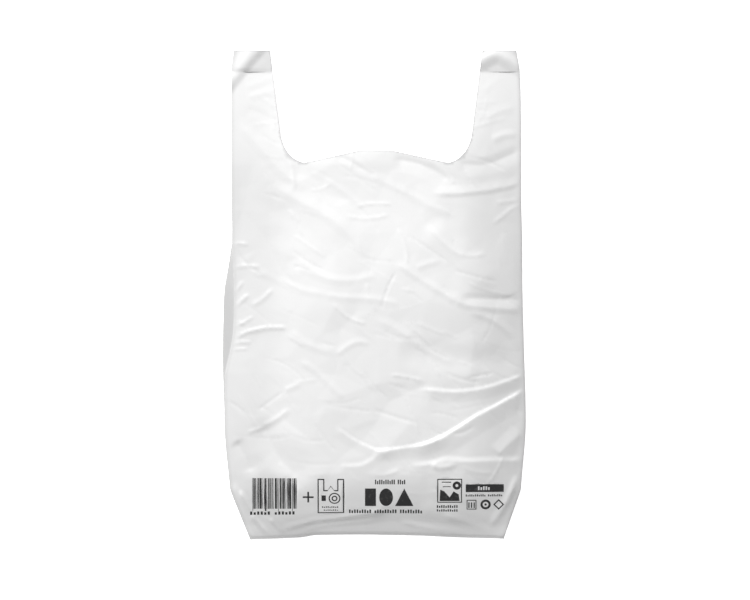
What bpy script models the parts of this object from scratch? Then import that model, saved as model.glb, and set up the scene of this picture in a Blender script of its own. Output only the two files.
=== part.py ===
"""Vest-type plastic carrier bag, empty and lying on its back panel.

One tube of blown film with a gusset folded in along each side, welded across the bottom and
across both handles, and one notch die-cut through all four layers, which opens the mouth and
leaves the handles. Metres, +Z up. The bag lies on z = 0 with its handles toward +Y and its
front panel facing up. Heights along the bag are measured from its bottom edge.
"""

import math

import bmesh
import bpy
from mathutils import Vector
from mathutils.geometry import delaunay_2d_cdt, intersect_line_line_2d, intersect_point_line

# Film and welds
FILM = 0.00005
LAYER_GAP = 0.0001
WELD_WIDTH = 0.002
HANDLE_WELD_DROP = 0.0225
FOLD_RADIUS = 0.0006

# Main sizes of the bag
BAG_LENGTH = 0.500
OPEN_WIDTH = 0.400
BOTTOM_WIDTH = 0.2592
BODY_WIDTH = 0.308
HANDLE_SPAN = 0.295
CORNER_HEIGHT = 0.051
BELLY_HEIGHT = 0.125
WAIST_HEIGHT = 0.306
CORNER_EASE = 0.0055
TOP_EASE = 0.003

# Notch between the handles. The die reaches past the handles' ends by the margin
NOTCH_DEPTH = 0.1153
NOTCH_TOP_WIDTH = 0.217
NOTCH_SIDE_DEPTH = 0.0875
NOTCH_SIDE_WIDTH = 0.195
NOTCH_CORNER_SPREAD = 0.147
NOTCH_CORNER_PULL = 0.184
NOTCH_CORNER_LIFT = 0.0043
TAB_WIDTH = 0.036
TAB_RISE = 0.0122
NOTCH_CURVE_STEPS = 7
NOTCH_MARGIN = 0.010

# How far the relaxed film stands off the floor
PUFF_BODY = 0.024
PUFF_MOUTH = 0.0115
EDGE_BODY = 0.006
EDGE_HANDLE = 0.0095
POCKET_BODY = 0.0008
POCKET_HANDLE = 0.0070
POCKET_OPENS_AT = 0.300
BOTTOM_EASE = 0.068
HANDLE_EASE = 0.070
OPENING_CURVE = 1.4
SKIRT_OPENING = 0.08
CROWN_POWER = 2.6

# How this bag lies: sideways drift of the whole outline, and the left edge where the film is
# pinched, so that the front fold draws in and the back fold shows beside it. (height, shift)
DRIFT = ((0.0, 0.0020), (0.051, 0.0005), (0.120, 0.0), (0.184, -0.0003), (0.245, 0.0005),
         (0.306, 0.0020), (0.347, 0.0013), (0.449, 0.0010), (0.500, 0.0))
FRONT_PINCH = ((0.170, 0.0), (0.200, 0.0055), (0.224, 0.0065), (0.275, 0.0030), (0.300, 0.0))
BACK_BULGE = ((0.130, 0.0), (0.184, -0.0026), (0.224, -0.0042), (0.255, -0.0049),
              (0.275, -0.0030), (0.305, 0.0))

# How the bottom weld is pulled up between its corners, (across, rise), and how far up the film
# follows it
BOTTOM_LINE = ((-0.128, 0.0), (-0.076, 0.0020), (-0.060, 0.0044), (0.024, 0.0046),
               (0.087, 0.0020), (0.133, 0.0008))
BOTTOM_LINE_REACH = 0.045

# Net of the film
ROW_PITCH = 0.0125
NET_PITCH = 0.016
COLUMN_PITCH = 0.015
COLUMN_MARGIN = 0.004
STRAP_COLUMNS = 4
CREASE_STEP = 0.013
CUT_STEP = 0.012
EDGE_CLEARANCE = 0.008
CDT_NEAR = 2e-6

# Creases of the front panel: rise, reach above and below, and the (across, height) points of
# each crest from left to right
SHARP_CREASES = (
    (0.0028, 0.0060, 0.0140, ((-0.032, 0.109), (-0.017, 0.100), (0.003, 0.091), (0.026, 0.094),
                              (0.051, 0.098), (0.068, 0.105), (0.087, 0.116), (0.105, 0.128),
                              (0.120, 0.135), (0.146, 0.150))),
    (0.0019, 0.0060, 0.0110, ((0.042, 0.151), (0.051, 0.154), (0.087, 0.151), (0.114, 0.155),
                              (0.132, 0.161), (0.146, 0.167))),
    (0.0015, 0.0060, 0.0120, ((0.030, 0.076), (0.057, 0.077), (0.072, 0.082), (0.093, 0.080),
                              (0.143, 0.081))),
    (0.0014, 0.0060, 0.0090, ((-0.038, 0.076), (-0.017, 0.075), (-0.005, 0.080), (0.003, 0.088))),
    (0.0018, 0.0060, 0.0080, ((0.078, 0.246), (0.093, 0.239), (0.114, 0.238), (0.145, 0.234))),
    (0.0018, 0.0100, 0.0080, ((0.095, 0.234), (0.118, 0.226), (0.137, 0.213), (0.146, 0.198))),
    (0.0015, 0.0100, 0.0080, ((0.020, 0.284), (0.053, 0.261), (0.078, 0.246))),
    (0.0017, 0.0060, 0.0090, ((0.072, 0.353), (0.087, 0.356), (0.118, 0.356), (0.143, 0.363))),
    (0.0016, 0.0140, 0.0120, ((-0.140, 0.427), (-0.127, 0.412), (-0.113, 0.395), (-0.095, 0.375),
                              (-0.077, 0.362))),
    (0.0015, 0.0140, 0.0120, ((-0.105, 0.363), (-0.076, 0.344), (-0.051, 0.333), (-0.030, 0.316),
                              (-0.013, 0.296))),
    (0.0012, 0.0080, 0.0080, ((-0.055, 0.251), (-0.030, 0.247), (-0.005, 0.247), (0.020, 0.242))),
    (0.0012, 0.0100, 0.0100, ((-0.080, 0.283), (-0.051, 0.266), (-0.023, 0.264), (-0.003, 0.269))),
    (0.0016, 0.0060, 0.0060, ((-0.144, 0.207), (-0.130, 0.213), (-0.111, 0.217), (-0.093, 0.217))),
    (0.0016, 0.0060, 0.0060, ((-0.143, 0.234), (-0.138, 0.240), (-0.128, 0.249))),
)
SOFT_FOLDS = (
    (0.0030, 0.0220, ((-0.107, 0.365), (-0.066, 0.342), (-0.026, 0.311))),
    (-0.0030, 0.0200, ((-0.115, 0.112), (-0.077, 0.071))),
    (0.0016, 0.0150, ((-0.107, 0.014), (-0.046, 0.024), (0.005, 0.030))),
    (0.0016, 0.0150, ((0.056, 0.028), (0.120, 0.016))),
    (-0.0012, 0.0200, ((0.040, 0.190), (0.128, 0.182))),
)

# Lines where one side of the film turns, from the front panel round its gusset to the back,
# and which way the outer face looks between each two
LINES = ("front_top", "front_tip", "front_foot", "crease_top", "crease_tip", "crease_foot",
         "back_top", "back_tip", "back_foot")
LINE_FACING = (1, -1, -1, -1, 1, 1, 1, -1)

STACK = 4 * FILM + 3 * LAYER_GAP
HANDLE_WELD_TOP = BAG_LENGTH - HANDLE_WELD_DROP + WELD_WIDTH / 2
HANDLE_WELD_LOW = HANDLE_WELD_TOP - WELD_WIDTH
MOUTH_HEIGHT = BAG_LENGTH - NOTCH_DEPTH


def mix(first, last, share):
    return first + (last - first) * share


def ease_out(share):
    """0 to 1, steep at 0 and level at 1, as film opens from a weld."""
    share = min(max(share, 0.0), 1.0)
    return 1 - (1 - share) ** OPENING_CURVE


def smooth(share):
    share = min(max(share, 0.0), 1.0)
    return share * share * (3 - 2 * share)


def through(points, at):
    """Value at one height of the smooth curve through (height, value) points."""
    if at <= points[0][0]:
        return points[0][1]
    if at >= points[-1][0]:
        return points[-1][1]
    last = next(i for i, point in enumerate(points) if point[0] > at)
    (start, low), (end, high) = points[last - 1], points[last]
    before = points[max(last - 2, 0)]
    after = points[min(last + 1, len(points) - 1)]
    span = end - start
    leave = span * (high - before[1]) / (end - before[0])
    arrive = span * (after[1] - low) / (after[0] - start)
    t = (at - start) / span
    return (
        (2 * t**3 - 3 * t**2 + 1) * low
        + (t**3 - 2 * t**2 + t) * leave
        + (3 * t**2 - 2 * t**3) * high
        + (t**3 - t**2) * arrive
    )


def half_width(height):
    """Half the width of the folded bag, before its drift."""
    corner = BODY_WIDTH / 2 - CORNER_EASE
    if height < CORNER_HEIGHT:
        return mix(BOTTOM_WIDTH / 2, corner, height / CORNER_HEIGHT)
    return through(
        (
            (CORNER_HEIGHT, corner),
            (BELLY_HEIGHT, BODY_WIDTH / 2),
            (WAIST_HEIGHT, HANDLE_SPAN / 2 + TOP_EASE / 4),
            (HANDLE_WELD_LOW, HANDLE_SPAN / 2),
            (BAG_LENGTH, HANDLE_SPAN / 2 - TOP_EASE),
        ),
        height,
    )


def opening(height):
    """How far the layers have opened: 0 where a weld fuses them, 1 well away from it."""
    if height >= HANDLE_WELD_TOP:
        return SKIRT_OPENING * ease_out(
            (height - HANDLE_WELD_TOP) / (BAG_LENGTH - HANDLE_WELD_TOP)
        )
    from_bottom = ease_out((height - WELD_WIDTH) / BOTTOM_EASE)
    from_handle = ease_out((HANDLE_WELD_LOW - height) / HANDLE_EASE)
    return min(from_bottom, from_handle)


def section(height):
    """The places of the folds and layers in the cross-section at one height."""
    opened = opening(height)
    upper = smooth((height - POCKET_OPENS_AT) / (MOUTH_HEIGHT - POCKET_OPENS_AT))
    edge = mix(EDGE_BODY, EDGE_HANDLE, upper)
    pocket = mix(POCKET_BODY, POCKET_HANDLE, upper)
    fold = mix(FILM + LAYER_GAP / 2, FILM + FOLD_RADIUS, opened)
    drift = through(DRIFT, height)
    half = half_width(height)
    depth = OPEN_WIDTH / 2 - half
    return {
        "fold": fold,
        "front_left": drift - half + through(FRONT_PINCH, height),
        "back_left": drift - half + through(BACK_BULGE, height),
        "right": drift + half,
        "crease_left": drift - half + depth,
        "crease_right": drift + half - depth,
        "front_fold": mix(STACK - FILM - LAYER_GAP / 2, edge, opened),
        "crease": mix(STACK / 2, edge / 2 + FOLD_RADIUS / 2, opened),
        "pocket": mix(LAYER_GAP / 2, pocket / 2, opened),
        "crown": mix(STACK, mix(PUFF_BODY, PUFF_MOUTH, upper), opened),
    }


def side_lines(row, side):
    """Where the lines of one side cross a section: (across, up) for each line, by name."""
    inward = 1 if side == "left" else -1
    front = row["front_left"] if side == "left" else row["right"]
    back = row["back_left"] if side == "left" else row["right"]
    crease = row["crease_left"] if side == "left" else row["crease_right"]
    fold, pocket = row["fold"], row["pocket"]
    bend = crease - inward * pocket
    return {
        "front_top": (front + inward * fold, row["front_fold"] + fold),
        "front_tip": (front, row["front_fold"]),
        "front_foot": (front + inward * fold, row["front_fold"] - fold),
        "crease_top": (bend, row["crease"] + pocket),
        "crease_tip": (crease, row["crease"]),
        "crease_foot": (bend, row["crease"] - pocket),
        "back_top": (back + inward * fold, 2 * fold),
        "back_tip": (back, fold),
        "back_foot": (back + inward * fold, 0.0),
    }


def lines_at(height):
    """Every line of the film at one height, by side and name."""
    row = section(height)
    return {
        (side, name): place
        for side in ("left", "right")
        for name, place in side_lines(row, side).items()
    }


def layers():
    """Each layer's two lines, and 1 where its outer face looks up, or -1."""
    found = [(("left", "front_top"), ("right", "front_top"), 1)]
    for side in ("left", "right"):
        for first, second, up in zip(LINES, LINES[1:], LINE_FACING):
            found.append(((side, first), (side, second), up))
    found.append((("left", "back_foot"), ("right", "back_foot"), -1))
    return found


def notch_half_width(height):
    """Half the width of the notch along its two straight sides."""
    slope = (NOTCH_TOP_WIDTH - NOTCH_SIDE_WIDTH) / NOTCH_SIDE_DEPTH / 2
    return NOTCH_SIDE_WIDTH / 2 + slope * (height - BAG_LENGTH + NOTCH_SIDE_DEPTH)


def row_heights(low, high, pitch):
    count = max(1, round((high - low) / pitch))
    return [mix(low, high, i / count) for i in range(count + 1)]


def notch_outline():
    """The die that cuts the mouth and the handles out of all four layers, anticlockwise."""
    low = BAG_LENGTH - NOTCH_SIDE_DEPTH
    sides = row_heights(low, BAG_LENGTH + NOTCH_MARGIN, CUT_STEP)
    half = [Vector((notch_half_width(height), height)) for height in sides[:0:-1]]
    start = Vector((notch_half_width(low), low))
    pull = Vector((NOTCH_CORNER_PULL / 2, MOUTH_HEIGHT + NOTCH_CORNER_LIFT))
    corner = Vector((NOTCH_CORNER_SPREAD / 2, MOUTH_HEIGHT))
    tab = Vector((TAB_WIDTH / 2, MOUTH_HEIGHT + TAB_RISE))
    for i in range(NOTCH_CURVE_STEPS):
        t = i / NOTCH_CURVE_STEPS
        half.append(start * (1 - t) ** 2 + pull * 2 * t * (1 - t) + corner * t**2)
    steps = round((corner - tab).length / CUT_STEP)
    half += [corner.lerp(tab, i / steps) for i in range(steps + 1)]
    mirrored = [Vector((-point.x, point.y)) for point in half]
    drift = Vector((through(DRIFT, MOUTH_HEIGHT), 0.0))
    return [point + drift for point in mirrored + [Vector((0.0, tab.y))] + half[::-1]]


def inside(outline, point):
    """Whether a point lies inside an outline, by counting the edges to its right."""
    crossings = 0
    for a, b in zip(outline, outline[1:] + outline[:1]):
        if (a.y > point.y) != (b.y > point.y):
            crossings += point.x < a.x + (b.x - a.x) * (point.y - a.y) / (b.y - a.y)
    return crossings % 2 == 1


def nearest_on(points, across, height):
    """Distance to a crease line, negative below it, and how far along it, from 0 to 1."""
    place = Vector((across, height))
    spans = [(Vector(b) - Vector(a)).length for a, b in zip(points, points[1:])]
    best, along, done = math.inf, 0.0, 0.0
    for (a, b), span in zip(zip(points, points[1:]), spans):
        start, run = Vector(a), Vector(b) - Vector(a)
        share = min(max((place - start).dot(run) / span**2, 0.0), 1.0)
        distance = (place - start - run * share).length
        if distance < abs(best):
            best = distance if run.cross(place - start) >= 0 else -distance
            along = (done + share * span) / sum(spans)
        done += span
    return best, along


def crease_rise(across, height):
    """What the creases and the soft folds add to the front panel at one place."""
    total = 0.0
    for rise, above, below, points in SHARP_CREASES:
        away, along = nearest_on(points, across, height)
        share = max(1 - away / above if away > 0 else 1 + away / below, 0.0)
        total += rise * share * smooth(4 * along) * smooth(4 * (1.15 - along))
    for rise, reach, points in SOFT_FOLDS:
        away, _ = nearest_on(points, across, height)
        total += rise * smooth(1 - abs(away) / reach)
    return total


def front_height(across, height):
    """Height of the front panel's outer face above the floor."""
    row = section(height)
    left = row["front_left"] + row["fold"]
    right = row["right"] - row["fold"]
    side = min(abs(2 * (across - left) / (right - left) - 1), 1.0)
    edge = row["front_fold"] + row["fold"]
    crown = 1 - side**CROWN_POWER
    return mix(edge, row["crown"], crown) + crease_rise(across, height) * crown * opening(height)


def crease_line(points, offset):
    """Points along a crease at an offset to one side, one every crease step."""
    placed = []
    for a, b in zip(points, points[1:]):
        start, run = Vector(a), Vector(b) - Vector(a)
        aside = Vector((-run.y, run.x)).normalized() * offset
        steps = max(1, round(run.length / CREASE_STEP))
        placed += [start + run * (i / steps) + aside for i in range(steps)]
        last = start + run + aside
    return placed + [last]


def free_points(rows, notch):
    """Inner points of the front panel's net, and the crest edges that it has to keep."""
    crests, edges, feet = [], [], []
    inner_rows = (rows[0] + EDGE_CLEARANCE, rows[-1] - EDGE_CLEARANCE)
    rim = list(zip(notch, notch[1:]))

    def clear(point, margin):
        row = section(point.y)
        level = inner_rows[0] < point.y < inner_rows[1]
        within = row["front_left"] + margin < point.x < row["right"] - margin
        if not (level and within) or inside(notch, point):
            return False
        return all((intersect_point_line(point, a, b)[0] - point).length > margin
                   or min((a - point).length, (b - point).length) > CUT_STEP
                   for a, b in rim)

    for _, _, _, points in SHARP_CREASES:
        crest = [p for p in crease_line(points, 0.0) if clear(p, EDGE_CLEARANCE / 2)]
        edges += [(len(crests) + i, len(crests) + i + 1) for i in range(len(crest) - 1)]
        crests += crest
    for _, above, below, points in SHARP_CREASES:
        feet += [p for side in (above, -below) for p in crease_line(points, side)]
    placed = list(crests)
    for foot in feet:
        near = min((foot - p).length for p in placed)
        if near > NET_PITCH / 3 and clear(foot, EDGE_CLEARANCE):
            placed.append(foot)
    kept = list(placed)
    step_up = NET_PITCH * math.sqrt(3) / 2
    columns = math.ceil(BODY_WIDTH / NET_PITCH)
    for line, height in enumerate(row_heights(rows[0], rows[-1], step_up)):
        for column in range(-columns, columns + 1):
            point = Vector(((column + (line % 2) / 2) * NET_PITCH, height))
            if not clear(point, EDGE_CLEARANCE):
                continue
            if min((point - p).length for p in kept) > NET_PITCH * 0.6:
                placed.append(point)
    return placed, edges


def line_vertices(net, rows, notch):
    """Vertices along every line of the film: one a row, and one where the notch cuts it."""
    placed = {}
    sections = [lines_at(height) for height in rows]
    for key in sections[0]:
        points = [Vector((s[key][0], h, s[key][1])) for s, h in zip(sections, rows)]
        cut = []
        for a, b in zip(points, points[1:]):
            cut.append(a)
            for c, d in zip(notch, notch[1:]):
                cross = intersect_line_line_2d(a.xy, b.xy, c, d)
                if cross:
                    cut.append(a.lerp(b, (cross.y - a.y) / (b.y - a.y)))
        placed[key] = [net.verts.new(point) for point in cut + points[-1:]]
    return placed


def end_columns(height):
    """Places across a welded or free end that all the layers share."""
    row = section(height)
    left, right = row["front_left"], row["right"]
    if height < MOUTH_HEIGHT:
        count = round(BOTTOM_WIDTH / COLUMN_PITCH)
        return [mix(left, right, i / count) for i in range(1, count)]
    middle = through(DRIFT, MOUTH_HEIGHT)
    reach = notch_half_width(height)
    found = [mix(left, middle - reach, i / STRAP_COLUMNS) for i in range(1, STRAP_COLUMNS)]
    return found + [mix(middle + reach, right, i / STRAP_COLUMNS) for i in range(1, STRAP_COLUMNS)]


def layer_height(layer, across, height):
    """Height above the floor of one layer's outer face."""
    first, second, _ = layer
    if first[1] == "front_top" and second[1] == "front_top":
        return front_height(across, height)
    lines = lines_at(height)
    (start, low), (end, high) = lines[first], lines[second]
    return mix(low, high, (across - start) / (end - start))


def build_layer(net, layer, lines, rows, notch):
    """Draws one layer flat between its two lines, cut by the notch, and lifts it to its place.

    Returns the vertices along its first and its last row, from its first line on.
    """
    first, second, up = layer
    left, right = sorted((lines[first], lines[second]), key=lambda line: line[0].co.x)
    ends = []
    for i in (0, -1):
        low, high = left[i].co.x + COLUMN_MARGIN, right[i].co.x - COLUMN_MARGIN
        ends.append([Vector((x, rows[i])) for x in end_columns(rows[i]) if low < x < high])
    is_panel = first[0] != second[0] and up > 0 and rows[0] < MOUTH_HEIGHT
    free, crests = free_points(rows, notch) if is_panel else ([], [])
    border = [v.co.xy for v in left[::-1]] + ends[0] + [v.co.xy for v in right] + ends[1][::-1]
    known = dict(enumerate(left[::-1]))
    known.update(enumerate(right, len(left) + len(ends[0])))
    start = len(border)
    coords = border + notch + free
    loops = [list(range(start)), list(range(start, start + len(notch)))]
    shift = start + len(notch)
    edges = [(a + shift, b + shift) for a, b in crests]
    found, _, triangles, sources, _, regions = delaunay_2d_cdt(
        coords, edges, loops, 0, CDT_NEAR, True
    )
    placed = {}
    for triangle, region in zip(triangles, regions):
        if 0 not in region or 1 in region:
            continue
        for i in triangle:
            if i in placed:
                continue
            fixed = [known[source] for source in sources[i] if source in known]
            point = found[i]
            if fixed:
                placed[i] = fixed[0]
            else:
                level = layer_height(layer, point.x, point.y)
                placed[i] = net.verts.new((point.x, point.y, level))
        corners = [placed[i] for i in triangle]
        net.faces.new(corners if up > 0 else corners[::-1])
    rightward = lines[first][0].co.x < lines[second][0].co.x
    used = sorted(set(placed.values()), key=lambda v: v.co.x, reverse=not rightward)
    return [[v for v in used if abs(v.co.y - row) < CDT_NEAR] for row in (rows[0], rows[-1])]


def film_tube(net, rows, notch, welded):
    """A length of the tube with both its faces, closed along its cut edges.

    welded says for the first and the last row whether a weld follows it. Returns the
    vertices of each layer along those two rows, and the inner vertex under each outer one.
    """
    lines = line_vertices(net, rows, notch)
    before = set(net.faces)
    ends = ({}, {})
    for layer in layers():
        for end, row in zip(ends, build_layer(net, layer, lines, rows, notch)):
            end[layer[:2]] = row
    outer = [face for face in net.faces if face not in before]
    net.normal_update()
    inner = {}
    for face in outer:
        for vert in face.verts:
            if vert in inner:
                continue
            inward = -vert.normal
            if is_near_row(vert, rows):
                inward = Vector((inward.x, 0.0, inward.z)).normalized()
            inner[vert] = net.verts.new(vert.co + inward * FILM)
    rims = []
    for face in outer:
        for loop in face.loops:
            a, b = loop.vert, loop.link_loop_next.vert
            at_weld = any(
                is_welded and abs(a.co.y - row) < CDT_NEAR and abs(b.co.y - row) < CDT_NEAR
                for is_welded, row in zip(welded, (rows[0], rows[-1]))
            )
            if len(loop.edge.link_faces) == 1 and not at_weld:
                rims.append((b, a, inner[a], inner[b]))
    for face in outer:
        net.faces.new([inner[vert] for vert in reversed(face.verts)])
    for rim in rims:
        net.faces.new(rim)
    return ends, inner


def is_near_row(vert, rows):
    return min(abs(vert.co.y - rows[0]), abs(vert.co.y - rows[-1])) < CDT_NEAR


def side_path(end, side):
    """One side's vertices along an end, from the front fold's tip in and back out."""
    names = LINES[LINES.index("front_tip"):LINES.index("back_tip") + 1]
    path = []
    for first, second in zip(names, names[1:]):
        path += end[((side, first), (side, second))]
    return list(dict.fromkeys(path))


def close_bottom(net, end, inner):
    """The weld across the bottom: it closes the cavity and both pockets, and ends the bag."""
    front = end[(("left", "front_top"), ("right", "front_top"))]
    back = end[(("left", "back_foot"), ("right", "back_foot"))]
    left, right = (side_path(end, side) for side in ("left", "right"))
    net.faces.new([inner[v] for v in front + right + back[::-1] + left[::-1]])
    net.faces.new(left)
    net.faces.new(right[::-1])
    outline = front + [right[0], right[-1]] + back[::-1] + [left[-1], left[0]]
    squeeze = half_width(0.0) / half_width(WELD_WIDTH)
    shift = through(DRIFT, 0.0) - through(DRIFT, WELD_WIDTH) * squeeze
    foot = [net.verts.new((v.co.x * squeeze + shift, 0.0, v.co.z)) for v in outline]
    bridge(net, foot, outline)
    net.faces.new(foot[::-1])


def strap_rows(end, side):
    """The vertices of one strap's four layers along an end, each from its fold to the cut."""
    sign = -1 if side == "left" else 1
    rows = [
        end[(("left", "front_top"), ("right", "front_top"))],
        end[((side, "front_foot"), (side, "crease_top"))],
        end[((side, "crease_foot"), (side, "back_top"))],
        end[(("left", "back_foot"), ("right", "back_foot"))],
    ]
    return [
        sorted((v for v in row if v.co.x * sign > 0), key=lambda v: -v.co.x * sign)
        for row in rows
    ]


def close_strap(net, end, inner, side, above):
    """Closes the three slots between a strap's layers. Returns the outline for the weld."""
    front, upper, lower, back = strap_rows(end, side)
    front_tip = end[((side, "front_tip"), (side, "front_foot"))][0]
    back_tip = end[((side, "back_tip"), (side, "back_foot"))][0]
    slots = (
        [inner[v] for v in front + upper[::-1] + [front_tip]],
        [front_tip] + upper + lower[::-1] + [back_tip],
        [inner[v] for v in lower + back[::-1] + [back_tip]],
    )
    flip = above != (side == "right")
    for slot in slots:
        net.faces.new(slot[::-1] if flip else slot)
    cut = [inner[front[-1]], inner[upper[-1]], upper[-1], lower[-1], inner[lower[-1]],
           inner[back[-1]]]
    outline = front + cut + back[::-1] + [back_tip, front_tip]
    return outline if side == "left" else outline[::-1]


def bridge(net, first, second):
    for a, b, c, d in zip(first, first[1:] + first[:1], second, second[1:] + second[:1]):
        net.faces.new((a, b, d, c))


def pull_bottom(net):
    """Pulls the bottom weld up between its corners, and the film above it less and less."""
    for vert in net.verts:
        follow = 1 - smooth(vert.co.y / BOTTOM_LINE_REACH)
        vert.co.y += through(BOTTOM_LINE, vert.co.x) * follow


def film_mesh():
    """The finished film: the tube with its gussets, the notch and the three welds."""
    net = bmesh.new()
    notch = notch_outline()
    body_rows = row_heights(WELD_WIDTH, HANDLE_WELD_LOW, ROW_PITCH)
    skirt_rows = row_heights(HANDLE_WELD_TOP, BAG_LENGTH, ROW_PITCH / 2)
    body_ends, body_inner = film_tube(net, body_rows, notch, (True, True))
    skirt_ends, skirt_inner = film_tube(net, skirt_rows, notch, (True, False))
    close_bottom(net, body_ends[0], body_inner)
    for side in ("left", "right"):
        below = close_strap(net, body_ends[1], body_inner, side, above=True)
        above = close_strap(net, skirt_ends[0], skirt_inner, side, above=False)
        bridge(net, below, above)
    loose = [vert for vert in net.verts if not vert.link_faces]
    bmesh.ops.delete(net, geom=loose, context="VERTS")
    bmesh.ops.triangulate(net, faces=net.faces)
    pull_bottom(net)
    mesh = bpy.data.meshes.new("carrier_bag")
    net.to_mesh(mesh)
    net.free()
    return mesh


def film_material():
    material = bpy.data.materials.new("white_film")
    material.use_nodes = True
    shader = material.node_tree.nodes["Principled BSDF"]
    shader.inputs["Base Color"].default_value = (0.9, 0.9, 0.9, 1.0)
    shader.inputs["Roughness"].default_value = 0.35
    shader.inputs["Metallic"].default_value = 0.0
    return material


def place(name, mesh):
    """Adds an object so that the middle of the bag's length is at Y = 0."""
    item = bpy.data.objects.new(name, mesh)
    item.location.y = -BAG_LENGTH / 2
    bpy.context.scene.collection.objects.link(item)
    return item


def main():
    for item in list(bpy.data.objects):
        bpy.data.objects.remove(item)
    bag = place("carrier_bag", film_mesh())
    bag.data.materials.append(film_material())


main()
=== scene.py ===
"""Plastic carrier bag: the visible film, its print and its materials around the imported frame.

The film is drawn layer by layer by the same rules as the solid, on a much finer net, with the
smaller creases and the print added. Lengths are in metres, apart from the tables of folds, and
heights along the bag are measured from its bottom edge, until the mesh is moved into the frame.
"""

import math
import random
from itertools import pairwise

import bmesh
import bpy
import numpy as np
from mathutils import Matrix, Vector, kdtree
from mathutils.bvhtree import BVHTree
from mathutils.geometry import delaunay_2d_cdt, intersect_line_line_2d, intersect_point_line


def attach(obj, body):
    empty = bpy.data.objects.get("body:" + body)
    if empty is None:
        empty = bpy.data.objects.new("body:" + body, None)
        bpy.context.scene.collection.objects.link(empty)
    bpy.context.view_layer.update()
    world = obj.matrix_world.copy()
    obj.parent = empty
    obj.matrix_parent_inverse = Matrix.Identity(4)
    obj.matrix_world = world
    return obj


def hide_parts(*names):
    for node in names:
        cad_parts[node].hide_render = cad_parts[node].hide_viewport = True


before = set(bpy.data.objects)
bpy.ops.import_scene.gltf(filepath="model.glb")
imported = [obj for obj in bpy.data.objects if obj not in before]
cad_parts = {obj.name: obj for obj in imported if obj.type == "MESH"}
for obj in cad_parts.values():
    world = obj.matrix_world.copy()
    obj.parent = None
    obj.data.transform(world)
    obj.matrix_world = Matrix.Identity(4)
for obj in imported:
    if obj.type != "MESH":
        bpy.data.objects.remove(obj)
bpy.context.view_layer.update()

# Film and welds
FILM = 0.00005
LAYER_GAP = 0.0001
WELD_WIDTH = 0.0012
HANDLE_WELD_DROP = 0.0225
FOLD_RADIUS = 0.0006

# Main sizes of the bag
BAG_LENGTH = 0.5
OPEN_WIDTH = 0.4
BOTTOM_WIDTH = 0.2592
BODY_WIDTH = 0.308
HANDLE_SPAN = 0.295
CORNER_HEIGHT = 0.051
BELLY_HEIGHT = 0.125
WAIST_HEIGHT = 0.306
CORNER_EASE = 0.0055
TOP_EASE = 0.003

# Notch between the handles. The die reaches past the handles' ends by the margin
NOTCH_DEPTH = 0.1153
NOTCH_TOP_WIDTH = 0.217
NOTCH_SIDE_DEPTH = 0.0875
NOTCH_SIDE_WIDTH = 0.195
NOTCH_CORNER_SPREAD = 0.147
NOTCH_CORNER_PULL = 0.184
NOTCH_CORNER_LIFT = 0.0043
TAB_WIDTH = 0.036
TAB_RISE = 0.0122
NOTCH_CURVE_STEPS = 20
NOTCH_MARGIN = 0.01

# How far the relaxed film stands off the floor, and how soon its layers open from each weld
PUFF_BODY = 0.024
PUFF_MOUTH = 0.015
CROWN_FALLS_AT = 0.23
EDGE_BODY = 0.006
EDGE_HANDLE = 0.008
POCKET_BODY = 0.0008
POCKET_HANDLE = 0.007
POCKET_OPENS_AT = 0.3
BOTTOM_EASE = 0.068
HANDLE_EASE = 0.095
OPENING_CURVE = 1.4
SKIRT_OPENING = 0.08
SKIRT_EASE = 0.0035
SKIRT_LIFT = 0.0004
CROWN_POWER = 2.6

# How this bag lies: sideways drift of the whole outline, and the left edge where the film is
# pinched, so that the front fold draws in and the back fold shows beside it. (height, shift)
DRIFT = ((0.0, 0.0020), (0.051, 0.0005), (0.120, 0.0), (0.184, -0.0003), (0.245, 0.0005),
         (0.306, 0.0020), (0.347, 0.0013), (0.449, 0.0010), (0.500, 0.0))
FRONT_PINCH = ((0.170, 0.0), (0.200, 0.0055), (0.224, 0.0065), (0.275, 0.0030), (0.300, 0.0))
BACK_BULGE = ((0.130, 0.0), (0.184, -0.0026), (0.224, -0.0042), (0.255, -0.0049),
              (0.275, -0.0030), (0.305, 0.0))

# How the bottom weld is pulled up between its corners, (across, rise), and how far up the film
# follows it
BOTTOM_LINE = ((-0.128, 0.0), (-0.076, 0.0020), (-0.060, 0.0044), (0.024, 0.0046),
               (0.087, 0.0020), (0.133, 0.0008))
BOTTOM_LINE_REACH = 0.045

# Net of the film: its pitches, and how near its points may lie to an edge
ROW_PITCH = 0.003
NET_PITCH = 0.0018
BACK_PITCH = 0.008
COLUMN_PITCH = 0.005
COLUMN_MARGIN = 0.0015
STRAP_COLUMNS = 12
CUT_STEP = 0.003
EDGE_CLEARANCE = 0.001
CDT_NEAR = 2e-6

# Film: darkest and lightest white, the tone of its painted shade, and its roughness
FILM_WHITE = (0.88, 0.92)
PAINTED_SHADE_TONE = 0.6
FILM_GLOSS = (0.34, 0.46)
CLOUD = {"Scale": 14.0, "Detail": 3.0, "Roughness": 0.55}
CRINKLE = {"Scale": 260.0, "Detail": 4.0, "Roughness": 0.6}
CRINKLE_STRETCH = (1.0, 0.45, 1.0)
CRINKLE_BUMP = {"Strength": 0.25, "Distance": 0.0002}

# Ink: its fresh and its worn tone, its roughness, and the noise that wears it
INK_FRESH = (0.030, 0.030, 0.031, 1.0)
INK_WORN = (0.11, 0.11, 0.11, 1.0)
INK_GLOSS = 0.42
WEAR = {"Scale": 240.0, "Detail": 4.0, "Roughness": 0.65}
WEAR_RANGE = (0.55, 0.80)

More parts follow.
